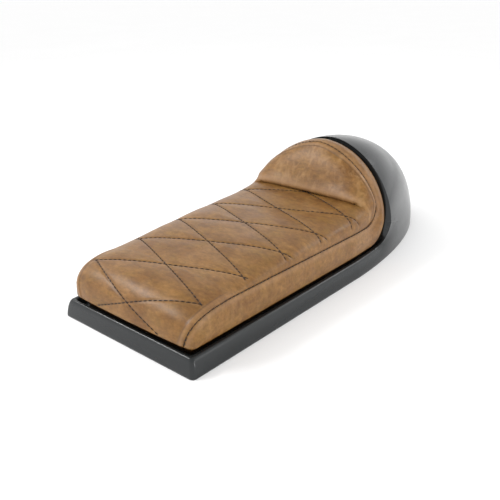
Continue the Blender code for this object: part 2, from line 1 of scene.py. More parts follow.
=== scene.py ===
"""The looks of the cafe racer motorcycle seat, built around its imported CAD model.

Units are metres and +Z is up. Y runs along the seat, with the front at -Y and the tail at +Y, and
X runs across it. A distance called "station" is measured from the tray's front edge to the tail.
"""
import bisect
import math
from collections import namedtuple

import bmesh
import bpy
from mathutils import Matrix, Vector, noise
from mathutils.bvhtree import BVHTree
from mathutils.kdtree import KDTree


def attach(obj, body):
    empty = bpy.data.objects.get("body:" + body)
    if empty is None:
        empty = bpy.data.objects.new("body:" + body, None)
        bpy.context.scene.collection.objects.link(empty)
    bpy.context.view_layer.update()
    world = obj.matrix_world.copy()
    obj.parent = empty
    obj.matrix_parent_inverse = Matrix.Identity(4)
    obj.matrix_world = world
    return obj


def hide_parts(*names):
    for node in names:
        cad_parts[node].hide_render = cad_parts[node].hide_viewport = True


# The shape's driving sizes, as in the CAD source
LENGTH = 0.673
FRONT_WIDTH = 0.233
TAIL_START = 0.342
WIDENING = 0.025
FRONT_Y = -LENGTH / 2
SHELL_WALL = 0.003
CORNER_R = 0.006
SMALLEST_CORNER_R = 0.004
BOTTOM_LIP = 0.002
FLOOR_Z = 0.014
COWL_ROUNDING = 1.85
COWL_BLEND = 0.45           # share of the rise over which the tray's section turns into the cowl's
WALL_DRAFT = 0.3
LEATHER = 0.0015
GAP = 0.0003
PAD_FRONT = 0.009
SEAM_FOOT_X = 0.0945
SEAM_FOOT_Z = 0.032
NOSE_LENGTH = 0.070
NOSE_ROUNDING = 2.8
NOSE_BULGE = 0.0025
NOSE_BOTTOM = 0.032
NOSE_TOP = 0.0812
PAD_CORNER_R = 0.0085
SADDLE_RISE = 0.010
SADDLE_PEAK = 0.245
CREASE = 0.380
CREASE_RISE = 0.0058
CREASE_RUN = 0.070
FRONT_CROWN = 2.2
REAR_CROWN = 4.5
STOP_CROWN = 3.0
PAD_RUN_END = 0.350
HEM_TURN = 0.006
HEM_CORNER_R = 0.004
FRONT_HEM_SCALE = 0.90

# A rim runs level along the tray, then turns up through a fillet into a leaning arch. CREST and
# PAD_EDGE are not quite the CAD source's: the crest is further in, and the leather ends 2 mm higher.
Rim = namedtuple("Rim", "front inset level slope half_width rounding foot_z top_z station lean fillet")
CREST = Rim(0.0075, 0.0088, 0.0234, 0.0, 0.1222, 1.85, 0.049, 0.1714, 0.4350, 0.086, 0.034)
BOWL = Rim(0.0105, 0.0145, FLOOR_Z, 0.0, 0.1120, 1.83, 0.056, 0.1620, 0.4310, 0.154, 0.012)
SEAM = Rim(PAD_FRONT, 0.0121, 0.0700, -0.0137, 0.1130, 1.68, 0.0764, 0.1713, 0.4035, 0.060, 0.028)
PAD_EDGE = Rim(0.0105, 0.0108, 0.0305, 0.0, 0.1168, 1.83, 0.0612, 0.1689, 0.4200, 0.154, 0.030)
HEM = Rim(0.0205, 0.0235, FLOOR_Z + GAP, 0.0, 0.1060, 1.83, 0.0560, 0.1560, 0.4305, 0.154, 0.030)

# Bends that are not as in the CAD source
TRAY_ROUNDING = 2.5         # superellipse exponent of the tray's wall, from its bottom to its crest
LIP_ROUNDING = 3.0          # and from the crest down to the recess
ROLL_DOWN = 0.22            # share of the way down to the hem taken by the rolled lower edge
ROLL_IN = 0.60              # and share of the way in
STOP_BULGE = 0.007          # how far the bum stop's face swells forward
STOP_FULLNESS = 0.7         # exponent that makes that swell fuller than a sine's

# How finely the shapes are cut up
SHELL_RUN = 60
SHELL_RISE = 150
SHELL_CORNER_ROWS = 12
SHELL_WALL_ROWS = 22
SHELL_INNER_ROWS = 12
NOSE_ROWS = 64
RUN_ROWS = 160
RISE_ROWS = 144
CREASE_ROW = NOSE_ROWS + RUN_ROWS + RISE_ROWS // 6   # the pad's row that lies along the crease
COLUMNS = 128
BAND_ROWS = 22
CURL_ROWS = 6
PAD_CORNER_ROWS = 12

# How finely a line is followed before it is resampled or searched
SECTION_SAMPLES = 240
TAIL_SAMPLES = 240
ARCH_SAMPLES = 180
FILLET_SAMPLES = 24
FOOT_SAMPLES = 4
NOSE_SAMPLES = NOSE_ROWS * 4
LOOKUP_SAMPLES = 400
MERGE_DISTANCE = 0.00002    # vertices closer than this become one

# Upholstery details: heights and depths, and how wide they are
QUILT_GROOVE = 0.0010
QUILT_GROOVE_WIDTH = 0.0018
QUILT_PILLOW = 0.0011
QUILT_PILLOW_WIDTH = 0.014
PILLOW_FADE = 0.03          # the pillows flatten out within this distance of the seam
SEAM_DIP = 0.0011
SEAM_DIP_WIDTH = 0.0014
ALLOWANCE = 0.0068          # width of the seam allowance that shows as a ridge beside the seam
ALLOWANCE_HEIGHT = 0.0008
ALLOWANCE_EDGE = 0.0015
CREASE_DEPTH = 0.0009
CREASE_WIDTH = 0.0026
CREASE_ROLL = 0.0058        # swell of the bum stop that starts right above the crease
CREASE_ROLL_WIDTH = 0.016
CREASE_FADE_X = 0.084       # where the crease starts to fade towards the seam
CREASE_FADE = 0.024
CREASE_SMOOTHED_ROWS = 26   # rows each side of the crease that are smoothed where it has faded
CREASE_SMOOTHINGS = 130
BAND_PUFF = 0.0034
PUFFED_WIDTH = 0.030        # the band is less puffed where it is narrower than this
WRINKLE = 0.0003
WRINKLE_SCALE = 22.0
FINE_WRINKLE_SCALE = 75.0
FINE_WRINKLE_SHARE = 0.35
FINE_WRINKLE_SHIFT = Vector((3.1, 0, 0))

# Where the seam allowance shows: shares of the nose's rows and of the arch's rows
FRONT_RIDGE_HOLD = 0.75
FRONT_RIDGE_FADE = 0.35
REAR_RIDGE_RISE = 0.08

# Painted shade: darkening of the leather's colour in its folds, where shade falls
QUILT_SHADE = 0.5
SEAM_SHADE = 0.8
STITCH_LINE_WIDTH = 0.0010
CREASE_SHADE = 0.30
CREASE_SHADE_WIDTH = 0.0014
ALLOWANCE_SHADE = 0.6
ALLOWANCE_SHADE_WIDTH = 0.0009

# Paler leather where it is pulled tight, which above the crease and along the allowance ridge is a
# painted highlight: how strong, how far from the crease or seam, how wide
CREASE_PULL_AND_SHEEN = 0.8
CREASE_PULL_AND_SHEEN_AT = 0.008
CREASE_PULL_AND_SHEEN_WIDTH = 0.005
ALLOWANCE_PULL_AND_SHEEN = 0.5
ALLOWANCE_PULL_AND_SHEEN_AT = 0.7 * ALLOWANCE
ALLOWANCE_PULL_AND_SHEEN_WIDTH = 0.0025
BAND_PULL = 0.4
BAND_PULL_AT = 0.004
BAND_PULL_WIDTH = 0.003
BAND_SCUFFS = 0.35          # how scuffed the band is; the bum stop's face is 1 and the top 0

# Stitches
STITCH_PITCH = 0.0070
STITCH_LENGTH = 0.0058
STITCH_RADIUS = 0.00058
STITCH_SIDES = 6
STITCH_RINGS = 5
STITCH_ARCH = 1.3           # how far the thread rises in the middle and sinks at its ends, in radii
STITCH_SINK = 0.5
STITCH_TIP = 0.7            # its radius at the ends, as a share
STITCH_STEPS = 10           # points that a line is given for each stitch

# Quilting: stitched lines that are straight on the flat leather. They cross on the middle line,
# which is measured from the pad's lower front edge, and again near each side.
QUILT_FIRST = 0.0228
QUILT_PITCH = 0.0762
QUILT_CROSSINGS = 6
QUILT_SIDE = 0.0935         # width on the leather from the middle to the side crossings
QUILT_MARGIN = 0.0115       # how far from the seam the stitching stops
QUILT_STEP = 0.0008

# Camera
CAMERA_AT = Vector((0.5301, -0.7394, 0.4106))
CAMERA_TARGET = Vector((0.0035, -0.1009, 0.0466))
CAMERA_LENS = 45.2
CAMERA_SENSOR = 36.0

# Studio: the floor's half size, and the sky's brightness at the horizon and overhead
FLOOR_SIZE = 60.0
FLOOR_DROP = 0.0005
SKY_LOW = 1.55
SKY_HIGH = 0.72

# Area lights: size in metres, power in watts
Lamp = namedtuple("Lamp", "name position target size power")
LAMPS = (
    Lamp("front_light", (-0.83, -0.87, 1.00), (0, -0.3, 0.02), (0.90, 0.12), 12.5),
    Lamp("side_light", (0.72, 1.20, 1.00), (0.1, 0.1, 0.02), (0.90, 0.25), 4.0),
    Lamp("dome_light", (1.9, 0.9, 0.8), (0, 0.2, 0.08), (0.5, 0.6), 2.5),
    Lamp("low_light", (1.25, -0.10, 0.20), (0.12, 0.1, 0.08), (0.06, 0.50), 3.0),
)

# Colours
TAN_DARK = (0.156, 0.068, 0.017)
TAN = (0.198, 0.095, 0.026)
TAN_LIGHT = (0.246, 0.128, 0.039)
OLIVE_PATCH = (0.205, 0.108, 0.025)
PINK_PATCH = (0.270, 0.148, 0.066)
DARK_SMEAR = (0.115, 0.050, 0.015)
PALE_SCUFF = (0.370, 0.215, 0.092)
# pale pulled leather, which above the crease and along the allowance ridge is a painted highlight
PULLED_TAN_AND_SHEEN = (0.390, 0.240, 0.140)
# painted shade that darkens the leather in its folds
PAINTED_FOLD_SHADE = (0.040, 0.018, 0.009)
THREAD_DARK = (0.006, 0.004, 0.004)
THREAD_LIGHT = (0.022, 0.014, 0.012)
ZINC_BLUE = (0.46, 0.48, 0.52)
ZINC_YELLOW = (0.62, 0.60, 0.54)
RUBBER_DARK = (0.012, 0.012, 0.012)
RUBBER_LIGHT = (0.035, 0.034, 0.033)
SHELL_BLACK = (0.016, 0.018, 0.019)
PAN_BLACK = (0.020, 0.020, 0.021)
SMEAR_TURN = 0.68           # angle in radians at which the smears and flecks cross the seat
FINE_BUMP = 0.0002

PLAIN = (0.0, 0.0, 0.0, 0.0)     # none of height, painted shade, pull with painted sheen and scuffs
INSIDE_PAD = Vector((0, 0.06, 0.05))
UNDER_COWL = Vector((0, 0.15, 0))
SHARP_ANGLE = 50


# ---------------------------------------------------------------- outlines

def quarter(angle, exponent):
    """Cosine and sine of an angle, reshaped so that a quarter circle becomes a superellipse."""
    power = 2 / exponent
    return max(math.cos(angle), 0.0) ** power, max(math.sin(angle), 0.0) ** power


def fraction_angles(count):
    """Angles at equal steps over a quarter turn, both ends included."""
    return [math.pi / 2 * i / count for i in range(count + 1)]


def resample(points, count):
    """Points at equal steps of length along a polyline, its ends included."""
    lengths = [0.0]
    for here, there in zip(points, points[1:]):
        lengths.append(lengths[-1] + (there - here).length)
    spaced = []
    k = 0
    for i in range(count):
        goal = lengths[-1] * i / (count - 1)
        while k < len(points) - 2 and lengths[k + 1] < goal:
            k += 1
        span = lengths[k + 1] - lengths[k]
        spaced.append(points[k].lerp(points[k + 1], (goal - lengths[k]) / span if span else 0.0))
    return spaced


def smoothstep(value):
    """An eased rise from 0 to 1."""
    value = min(max(value, 0.0), 1.0)
    return value * value * (3 - 2 * value)


def half_width(station):
    """Half the width of the tray's bottom edge: straight sides, then half an ellipse."""
    straight = FRONT_WIDTH / 2 + WIDENING * min(station, TAIL_START)
    if station <= TAIL_START:
        return straight
    along = (station - TAIL_START) / (LENGTH - TAIL_START)
    return straight * math.sqrt(max(1 - along * along, 0.0))


def rim_point(rim, station):
    """A point on the level run of a rim, on the right side."""
    x = half_width(station) - rim.inset
    return Vector((x, FRONT_Y + station, rim.level + rim.slope * station))


def riser_point(rim, z):
    """A point on the arch of a rim, on the right side, at a height."""
    rise = max((z - rim.foot_z) / (rim.top_z - rim.foot_z), 0.0)
    x = rim.half_width * max(1 - rise ** rim.rounding, 0.0) ** (1 / rim.rounding)
    return Vector((x, FRONT_Y + rim.station + rim.lean * (z - rim.foot_z), z))


def rim_rise(rim, start, count):
    """Right side of a rim, from a station on its level run over the fillet to its top middle."""
    foot = riser_point(rim, rim.level)
    fillet_start = foot.y - FRONT_Y - rim.fillet
    here = rim_point(rim, fillet_start)
    there = riser_point(rim, here.z + rim.fillet)
    corner = Vector(((here.x + there.x) / 2, foot.y, here.z))
    points = [rim_point(rim, start)]
    for i in range(FILLET_SAMPLES + 1):
        t = i / FILLET_SAMPLES
        points.append(here.lerp(corner, t).lerp(corner.lerp(there, t), t))
    if there.z < rim.foot_z:
        for i in range(1, FOOT_SAMPLES + 1):
            points.append(riser_point(rim, there.z + (rim.foot_z - there.z) * i / FOOT_SAMPLES))
    for angle in fraction_angles(ARCH_SAMPLES):
        up = quarter(angle, rim.rounding)[1]
        z = rim.foot_z + (rim.top_z - rim.foot_z) * up
        if z > points[-1].z:
            points.append(riser_point(rim, z))
    return resample(points, count)


def front_corner(front, inset, radius, z, straight_rows, corner_rows):
    """Right half of a front edge, from the middle round a corner to the start of the side."""
    side = half_width(front + radius) - inset
    centre = Vector((side - radius, FRONT_Y + front + radius, z))
    points = [Vector((centre.x * i / straight_rows, centre.y - radius, z)) for i in range(straight_rows)]
    for angle in fraction_angles(corner_rows):
        points.append(centre + radius * Vector((math.sin(angle), -math.cos(angle), 0)))
    return points


def run_stations(first, last, count):
    """Stations at equal steps between two others, which are left out."""
    return [first + (last - first) * i / count for i in range(1, count)]


def mirror(points):
    """The same points on the other side of the seat."""
    return [Vector((-p.x, p.y, p.z)) for p in points]


def mirrored(columns):
    """The left columns that match some right ones, in the opposite order."""
    return [mirror(column) for column in reversed(columns)]


# ---------------------------------------------------------------- mesh helpers

def add_face(bm, corners):
    """Add a face, leaving out corners that are named twice."""
    corners = list(dict.fromkeys(corners))
    if len(corners) > 2:
        bm.faces.new(corners)


def grid_faces(bm, columns, closed=False):
    """Join neighbouring columns of vertices with quads."""
    pairs = list(zip(columns, columns[1:]))
    if closed:
        pairs.append((columns[-1], columns[0]))
    for left, right in pairs:
        for corners in zip(left, left[1:], right[1:], right):
            add_face(bm, corners)


def face_away(bm, inside):
    """Turn a sheet's faces to look away from a point behind it."""
    bmesh.ops.recalc_face_normals(bm, faces=bm.faces)
    outward = sum(f.calc_area() * f.normal.dot(f.calc_center_median() - inside) for f in bm.faces)
    if outward < 0:
        bmesh.ops.reverse_faces(bm, faces=bm.faces)
    bm.normal_update()


def place(name, bm, material):
    """Turn a bmesh into a smooth shaded object with a material."""
    mesh = bpy.data.meshes.new(name)
    bm.to_mesh(mesh)
    bm.free()
    mesh.shade_smooth()
    mesh.materials.append(material)
    item = bpy.data.objects.new(name, mesh)
    bpy.context.collection.objects.link(item)
    return item


def add_solidify(item, thickness):
    """Thicken a sheet inwards."""
    solidify = item.modifiers.new("thickness", "SOLIDIFY")
    solidify.thickness = thickness
    solidify.offset = -1.0
    solidify.use_even_offset = True
    solidify.thickness_clamp = 1.0


# ---------------------------------------------------------------- shell

def shell_rim(rim):
    """Right half of a shell rim, from the front middle to the top middle."""
    radius = max(CORNER_R - rim.front, SMALLEST_CORNER_R)
    points = front_corner(rim.front, rim.inset, radius, rim.level, SHELL_CORNER_ROWS, SHELL_CORNER_ROWS)
    points += [rim_point(rim, s) for s in run_stations(rim.front + radius, TAIL_START, SHELL_RUN)]
    return points + rim_rise(rim, TAIL_START, SHELL_RISE)


def shell_bottom():
    """Right half of the shell's bottom edge, from the front middle to the tail middle."""
    points = front_corner(0.0, 0.0, CORNER_R, 0.0, SHELL_CORNER_ROWS, SHELL_CORNER_ROWS)
    for station in run_stations(CORNER_R, TAIL_START, SHELL_RUN):
        points.append(Vector((half_width(station), FRONT_Y + station, 0.0)))
    tail = []
    for angle in fraction_angles(TAIL_SAMPLES):
        station = TAIL_START + (LENGTH - TAIL_START) * math.sin(angle)
        tail.append(Vector((half_width(station), FRONT_Y + station, 0.0)))
    return points + resample(tail, SHELL_RISE)


def shell_column(bottom, crest, bowl, cowl):
    """Points up the outer wall, over the crest and down to the recess."""
    rounding = TRAY_ROUNDING + (COWL_ROUNDING - TRAY_ROUNDING) * cowl
    draft = WALL_DRAFT * (1 - cowl)
    column = [bottom]
    for angle in fraction_angles(SHELL_WALL_ROWS):
        across, up = quarter(angle, rounding)
        point = crest.lerp(bottom, across * (1 - draft * up))
        point.z = BOTTOM_LIP + (crest.z - BOTTOM_LIP) * up
        column.append(point)
    for angle in fraction_angles(SHELL_INNER_ROWS)[1:]:
        down, inward = quarter(angle, LIP_ROUNDING)
        point = crest.lerp(bowl, inward)
        point.z = bowl.z + (crest.z - bowl.z) * down
        column.append(point)
    return column


def build_shell(material):
    """The tray and the tail cowl in one smooth moulded skin."""
    bottom, crest, bowl = shell_bottom(), shell_rim(CREST), shell_rim(BOWL)
    last_run = len(bottom) - SHELL_RISE
    columns = []
    for i, points in enumerate(zip(bottom, crest, bowl)):
        cowl = smoothstep((i - last_run) / (SHELL_RISE * COWL_BLEND))
        columns.append(shell_column(*points, cowl))
    bm = bmesh.new()
    loops = [[bm.verts.new(p) for p in column] for column in columns + mirrored(columns[1:-1])]
    grid_faces(bm, loops, closed=True)
    ring = [loop[-1] for loop in loops]
    level = [i for i in range(len(bowl)) if bowl[i].z < FLOOR_Z + GAP]
    bm.faces.new([ring[i] for i in level] + [ring[-i] for i in reversed(level) if i > 0])
    for i in range(level[-1], len(bowl) - 1):
        add_face(bm, (ring[i], ring[i + 1], ring[-i - 1], ring[-i]))
    face_away(bm, UNDER_COWL)
    shell = place("shell", bm, material)
    shell.data.set_sharp_from_angle(angle=math.radians(SHARP_ANGLE))
    add_solidify(shell, SHELL_WALL)
    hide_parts("base_shell")
    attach(shell, "root")


# ---------------------------------------------------------------- pad surface

def top_height(station):
    """Height of the pad's top along its middle line, from the nose to the crease."""
    nose_end = PAD_FRONT + NOSE_LENGTH
    rise = math.sin(math.pi / 2 * min((station - nose_end) / (SADDLE_PEAK - nose_end), 1.0))
    climb = smoothstep((station - CREASE + CREASE_RUN) / CREASE_RUN)
    return NOSE_TOP + SADDLE_RISE * rise + CREASE_RISE * climb


def lower_line(rim, radius):
    """A lower line of the whole pad on the right side, with one point for each row."""
    corner = front_corner(rim.front, rim.inset, radius, rim.level, 1, PAD_CORNER_ROWS)[1:]
    line = resample(corner + [rim_point(rim, PAD_FRONT + NOSE_LENGTH)], NOSE_ROWS + 1)
    line += [rim_point(rim, s) for s in run_stations(PAD_FRONT + NOSE_LENGTH, PAD_RUN_END, RUN_ROWS)]
    return line + rim_rise(rim, PAD_RUN_END, RISE_ROWS + 1)


def nose_lines():
    """Seam and middle points of the rounded nose, bottom to top."""
    seam_end = rim_point(SEAM, PAD_FRONT + NOSE_LENGTH)
    seam = []
    middle = []
    for angle in fraction_angles(NOSE_SAMPLES):
        back, up = quarter(angle, NOSE_ROUNDING)
        x = SEAM_FOOT_X + (seam_end.x - SEAM_FOOT_X) * up
        z = SEAM_FOOT_Z + (seam_end.z - SEAM_FOOT_Z) * up
        seam.append(Vector((x, seam_end.y - NOSE_LENGTH * back, z)))
        y = seam_end.y - (NOSE_LENGTH + NOSE_BULGE) * back
        middle.append(Vector((0, y, NOSE_BOTTOM + (NOSE_TOP - NOSE_BOTTOM) * up)))
    return resample(seam, NOSE_ROWS + 1), resample(middle, NOSE_ROWS + 1)


def pad_lines():
    """Seam and middle points of the whole pad, one for each row."""
    seam, middle = nose_lines()
    for station in run_stations(PAD_FRONT + NOSE_LENGTH, PAD_RUN_END, RUN_ROWS):
        seam.append(rim_point(SEAM, station))
        middle.append(Vector((0, FRONT_Y + station, top_height(station))))
    seam += rim_rise(SEAM, PAD_RUN_END, RISE_ROWS + 1)
    approach = CREASE_ROW - len(middle)
    for i in range(approach + 1):
        station = PAD_RUN_END + (CREASE - PAD_RUN_END) * i / approach
        middle.append(Vector((0, FRONT_Y + station, top_height(station))))
    foot = middle[-1]
    steps = len(seam) - len(middle)
    for i in range(1, steps + 1):
        point = foot.lerp(seam[-1], i / steps)
        point.y -= STOP_BULGE * math.sin(math.pi * i / steps) ** STOP_FULLNESS
        middle.append(point)
    return seam, middle


def section_crowns(count):
    """The superellipse exponent of the pad's section, one for each of count rows."""
    crowns = [FRONT_CROWN] * (NOSE_ROWS + 1)
    for i in range(1, RUN_ROWS):
        crowns.append(FRONT_CROWN + (REAR_CROWN - FRONT_CROWN) * i / RUN_ROWS)
    crowns += [REAR_CROWN] * (CREASE_ROW + 1 - len(crowns))
    steps = count - len(crowns)
    for i in range(1, steps + 1):
        crowns.append(REAR_CROWN + (STOP_CROWN - REAR_CROWN) * smoothstep(3 * i / steps))
    return crowns


def across(seam, middle, crown):
    """One row of the leather from the left seam over the middle to the right seam."""
    row = []
    for i in range(SECTION_SAMPLES + 1):
        angle = math.pi * (i / SECTION_SAMPLES - 0.5)
        height, reach = quarter(abs(angle), crown)
        point = Vector((0, seam.y, seam.z)).lerp(middle, height)
        point.x = math.copysign(reach, angle) * seam.x
        row.append(point)
    if seam.x > GAP:
        return resample(row, COLUMNS + 1)
    return [row[0].copy() for _ in range(COLUMNS + 1)]


def curl(edge, hem):
    """Points from a lower edge of the leather, rolling under the foam to the hem and in along it."""
    rise = min(max((hem.z - HEM.level) / HEM.fillet, 0.0), 1.0)
    tilt = rise * (math.pi / 2 - math.atan(HEM.lean))
    inward_of_pad = Vector((0, math.sin(tilt), -math.cos(tilt)))
    depth = inward_of_pad * (hem - edge).dot(inward_of_pad)
    rest = hem - edge - depth
    points = []
    for angle in fraction_angles(CURL_ROWS)[1:]:
        down = ROLL_DOWN * math.sin(angle)
        inward = ROLL_IN * (1 - math.cos(angle))
        points.append(edge + depth * down + rest * inward)
    return points + [hem, hem + rest.normalized() * HEM_TURN]


def crease_share(point):
    """How clearly the crease shows: fully in the middle, and not at all near the seam."""
    return 1 - smoothstep((abs(point.x) - CREASE_FADE_X) / CREASE_FADE)


def smooth_crease_ends(rows):
    """Round the hollow between the top and the bum stop where the crease has faded."""
    near = range(CREASE_ROW - CREASE_SMOOTHED_ROWS, CREASE_ROW + CREASE_SMOOTHED_ROWS + 1)
    for _ in range(CREASE_SMOOTHINGS):
        moves = []
        for k in near:
            closeness = 1 - smoothstep(abs(k - CREASE_ROW) / CREASE_SMOOTHED_ROWS)
            for j in range(1, COLUMNS):
                here = rows[k][j]
                weight = closeness * (1 - crease_share(here))
                if weight > 0:
                    moves.append((k, j, here.lerp((rows[k - 1][j] + rows[k + 1][j]) / 2, weight)))
        for k, j, point in moves:
            rows[k][j] = point


class Surface:
    """The pad's smooth outer surface: a grid of points with their normals."""

    def __init__(self, rows):
        self.rows = rows
        bm = bmesh.new()
        grid = [[bm.verts.new(p) for p in row] for row in rows]
        grid_faces(bm, grid)
        face_away(bm, INSIDE_PAD)
        self.normals = [[v.normal.copy() for v in row] for row in grid]
        bm.free()
        middle = len(rows[0]) // 2
        self.girth = [0.0]
        for here, there in zip(rows, rows[1:]):
            self.girth.append(self.girth[-1] + (there[middle] - here[middle]).length)
        self.half_lengths = [sum((q - p).length for p, q in zip(row, row[1:])) / 2 for row in rows]

    def row_below(self, girth):
        """The last row that starts at or before a length along the middle line."""
        return min(max(bisect.bisect_right(self.girth, girth) - 1, 0), len(self.girth) - 2)

    def at(self, girth, across):
        """The point at a length along the middle line and a length across from it."""
        k = self.row_below(girth)
        t = (girth - self.girth[k]) / (self.girth[k + 1] - self.girth[k])
        place_across = (across / self.half_lengths[k] + 1) / 2 * COLUMNS
        j = min(int(place_across), COLUMNS - 1)
        u = place_across - j
        low = self.rows[k][j].lerp(self.rows[k][j + 1], u)
        high = self.rows[k + 1][j].lerp(self.rows[k + 1][j + 1], u)
        return low.lerp(high, t)

    def holds(self, girth, across, margin):
        """Whether a place is on the surface, and further than a margin from its sides."""
        if not 0.0 <= girth <= self.girth[-1]:
            return False
        return abs(across) <= self.half_lengths[self.row_below(girth)] - margin


def quilt_lines(surface):
    """The stitched lines of the quilting on the surface from the front edge to the crease."""
    slope = QUILT_PITCH / 2 / QUILT_SIDE
    steps = int(max(surface.half_lengths) / QUILT_STEP)
    lines = []
    for i in range(QUILT_CROSSINGS):
        centre = QUILT_FIRST + QUILT_PITCH * i
        for side in (-1, 1):
            widths = [QUILT_STEP * k for k in range(-steps, steps)]
            places = [(centre + side * slope * width, width) for width in widths]
            lines.append([surface.at(*p) for p in places if surface.holds(*p, QUILT_MARGIN)])
    return [line for line in lines if len(line) > 1]


# ---------------------------------------------------------------- upholstery relief

def lookup(lines):
    """A tree that finds the nearest point of some lines."""
    points = [p for line in lines for p in resample(line, LOOKUP_SAMPLES)]
    tree = KDTree(len(points))
    for i, p in enumerate(points):
        tree.insert(p, i)
    tree.balance()
    return tree


def bell(distance, width):
    """A smooth bump, 1 in the middle."""
    return math.exp(-(distance / width) ** 2)


def wrinkles(point):
    """Slight unevenness of hand-fitted leather."""
    broad = noise.noise(point * WRINKLE_SCALE)
    fine = noise.noise(point * FINE_WRINKLE_SCALE + FINE_WRINKLE_SHIFT)
    return WRINKLE * (broad + FINE_WRINKLE_SHARE * fine)


class Relief:
    """What each point of the leather gets: (height, painted shade, pull with painted sheen, scuffs)."""

    def __init__(self, quilting, seam, crease):
        self.quilting = lookup(quilting)
        self.seam = lookup([seam])
        self.crease = lookup([crease])

    def top(self, point, ridge, above):
        """For the top (above 0) or the bum stop's face (above 1); ridge shows the allowance."""
        quilt = self.quilting.find(point)[2]
        seam = self.seam.find(point)[2]
        crease = self.crease.find(point)[2]
        fade = crease_share(point)

        height = wrinkles(point)
        height -= QUILT_GROOVE * bell(quilt, QUILT_GROOVE_WIDTH)
        pillow = 1 - bell(quilt, QUILT_PILLOW_WIDTH)
        height += QUILT_PILLOW * pillow * smoothstep(seam / PILLOW_FADE)
        height -= SEAM_DIP * bell(seam, SEAM_DIP_WIDTH)
        height += ALLOWANCE_HEIGHT * ridge * (1 - smoothstep((seam - ALLOWANCE) / ALLOWANCE_EDGE))
        dent = math.exp(-crease / CREASE_WIDTH)
        height -= CREASE_DEPTH * fade * dent
        height += CREASE_ROLL * above * fade * (1 - dent) * bell(crease, CREASE_ROLL_WIDTH)

        # Painted shade: the colour darkens along the stitched lines, the seam, the crease and past the
        # allowance, where shade falls
        past_allowance = seam - ALLOWANCE - STITCH_LINE_WIDTH
        shade = QUILT_SHADE * bell(quilt, STITCH_LINE_WIDTH) + SEAM_SHADE * bell(seam, STITCH_LINE_WIDTH)
        shade += CREASE_SHADE * fade * math.exp(-crease / CREASE_SHADE_WIDTH)
        shade += ALLOWANCE_SHADE * ridge * bell(past_allowance, ALLOWANCE_SHADE_WIDTH)

        # Paler pulled leather, which on the roll above the crease and along the allowance ridge is a
        # painted highlight
        pull = CREASE_PULL_AND_SHEEN * above * fade * bell(crease - CREASE_PULL_AND_SHEEN_AT, CREASE_PULL_AND_SHEEN_WIDTH)
        pull += ALLOWANCE_PULL_AND_SHEEN * ridge * bell(seam - ALLOWANCE_PULL_AND_SHEEN_AT, ALLOWANCE_PULL_AND_SHEEN_WIDTH)
        return height, min(shade, 1.0), pull, above

    def band(self, point, share, width):
        """For the side band; share runs from 0 at the seam to 1 at the lower edge."""
        seam = self.seam.find(point)[2]
        puff = BAND_PUFF * min(width / PUFFED_WIDTH, 1.0) ** 2
        height = wrinkles(point) + puff * math.sin(math.pi * share)
        height -= SEAM_DIP * bell(seam, SEAM_DIP_WIDTH)
        # Painted shade along the seam, and paler leather beside it
        shade = SEAM_SHADE * bell(seam, STITCH_LINE_WIDTH)
        pull = BAND_PULL * bell(seam - BAND_PULL_AT, BAND_PULL_WIDTH)
        return height, shade, pull, BAND_SCUFFS


def ridge_share(k):
    """How clearly the seam allowance shows at a row: by the front corners and on the bum stop."""
    front = 1 - smoothstep((k - NOSE_ROWS * FRONT_RIDGE_HOLD) / (NOSE_ROWS * FRONT_RIDGE_FADE))
    rear = smoothstep((k - CREASE_ROW) / (RISE_ROWS * REAR_RIDGE_RISE))
    return max(front, rear)


def relief_sheet(name, rows, normals, reliefs, material):
    """A leather sheet raised by its relief's heights; the rest goes to a colour attribute."""
    bm = bmesh.new()
    # The colour attribute carries painted shade and a painted sheen along with the scuffs
    layer = bm.verts.layers.float_color.new("wear_and_painted_light")
    grid = []
    for row, normal_row, relief_row in zip(rows, normals, reliefs):
        line = []
        for point, normal, (height, *wear_and_painted_light) in zip(row, normal_row, relief_row):
            vertex = bm.verts.new(point + normal * height)
            vertex[layer] = (*wear_and_painted_light, 1.0)
            line.append(vertex)
        grid.append(line)
    grid_faces(bm, grid)
    bmesh.ops.remove_doubles(bm, verts=bm.verts, dist=MERGE_DISTANCE)
    face_away(bm, INSIDE_PAD)
    item = place(name, bm, material)
    add_solidify(item, LEATHER)
    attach(item, "root")
    return item


# ---------------------------------------------------------------- stitches

def add_stitch(bm, start, end, normal):
    """A short thread lying on the leather: a rounded rod that dips into it at both ends."""
    along = (end - start).normalized()
    side = normal.cross(along).normalized()
    rings = []
    for i in range(STITCH_RINGS):
        t = i / (STITCH_RINGS - 1)
        rise = math.sin(math.pi * t)
        radius = STITCH_RADIUS * (STITCH_TIP + (1 - STITCH_TIP) * rise)
        centre = start.lerp(end, t) + normal * STITCH_RADIUS * (STITCH_ARCH * rise - STITCH_SINK)
        ring = []
        for k in range(STITCH_SIDES):
            angle = 2 * math.pi * k / STITCH_SIDES
            spoke = math.cos(angle) * side + math.sin(angle) * normal
            ring.append(bm.verts.new(centre + radius * spoke))
        rings.append(ring)
    for low, high in zip(rings, rings[1:]):
        grid_faces(bm, [list(pair) for pair in zip(low, high)], closed=True)
    bm.faces.new(rings[0])
    bm.faces.new(rings[-1])


def onto_leather(point, trees):
    """The nearest place on the finished leather, with its normal."""
    hit = min((tree.find_nearest(point) for tree in trees), key=lambda found: found[3])
    return hit[0], hit[1]


